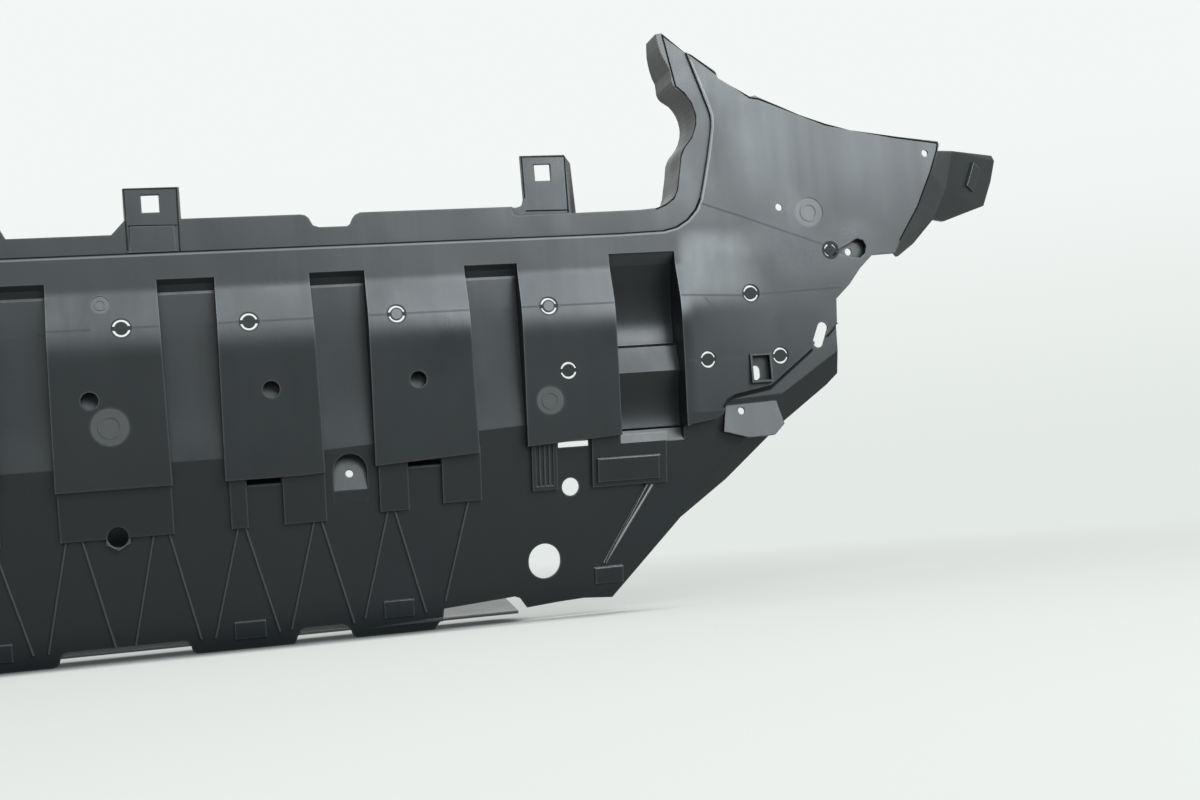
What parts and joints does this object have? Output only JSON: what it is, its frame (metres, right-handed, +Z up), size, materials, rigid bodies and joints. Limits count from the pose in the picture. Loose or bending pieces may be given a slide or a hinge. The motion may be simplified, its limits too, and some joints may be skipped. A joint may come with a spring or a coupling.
{
  "type": "radiator guard",
  "caption": "Moulded plastic guard that closes the underside of a car's front below the radiator, with ribbed channels and swept side wings.",
  "frame": {"origin": "middle of the length and depth, at the lowest edge of the teeth", "axes": "+X along the length, +Z up as pictured, the outer face looks toward -Y"},
  "size_m": [1.6908, 0.1164, 0.5126],
  "materials": {
    "moulded_plastic": "satin black polypropylene with faint vertical flow streaks"
  },
  "bodies": {
    "root": {"guard_panel": "moulded_plastic"}
  },
  "joints": []
}
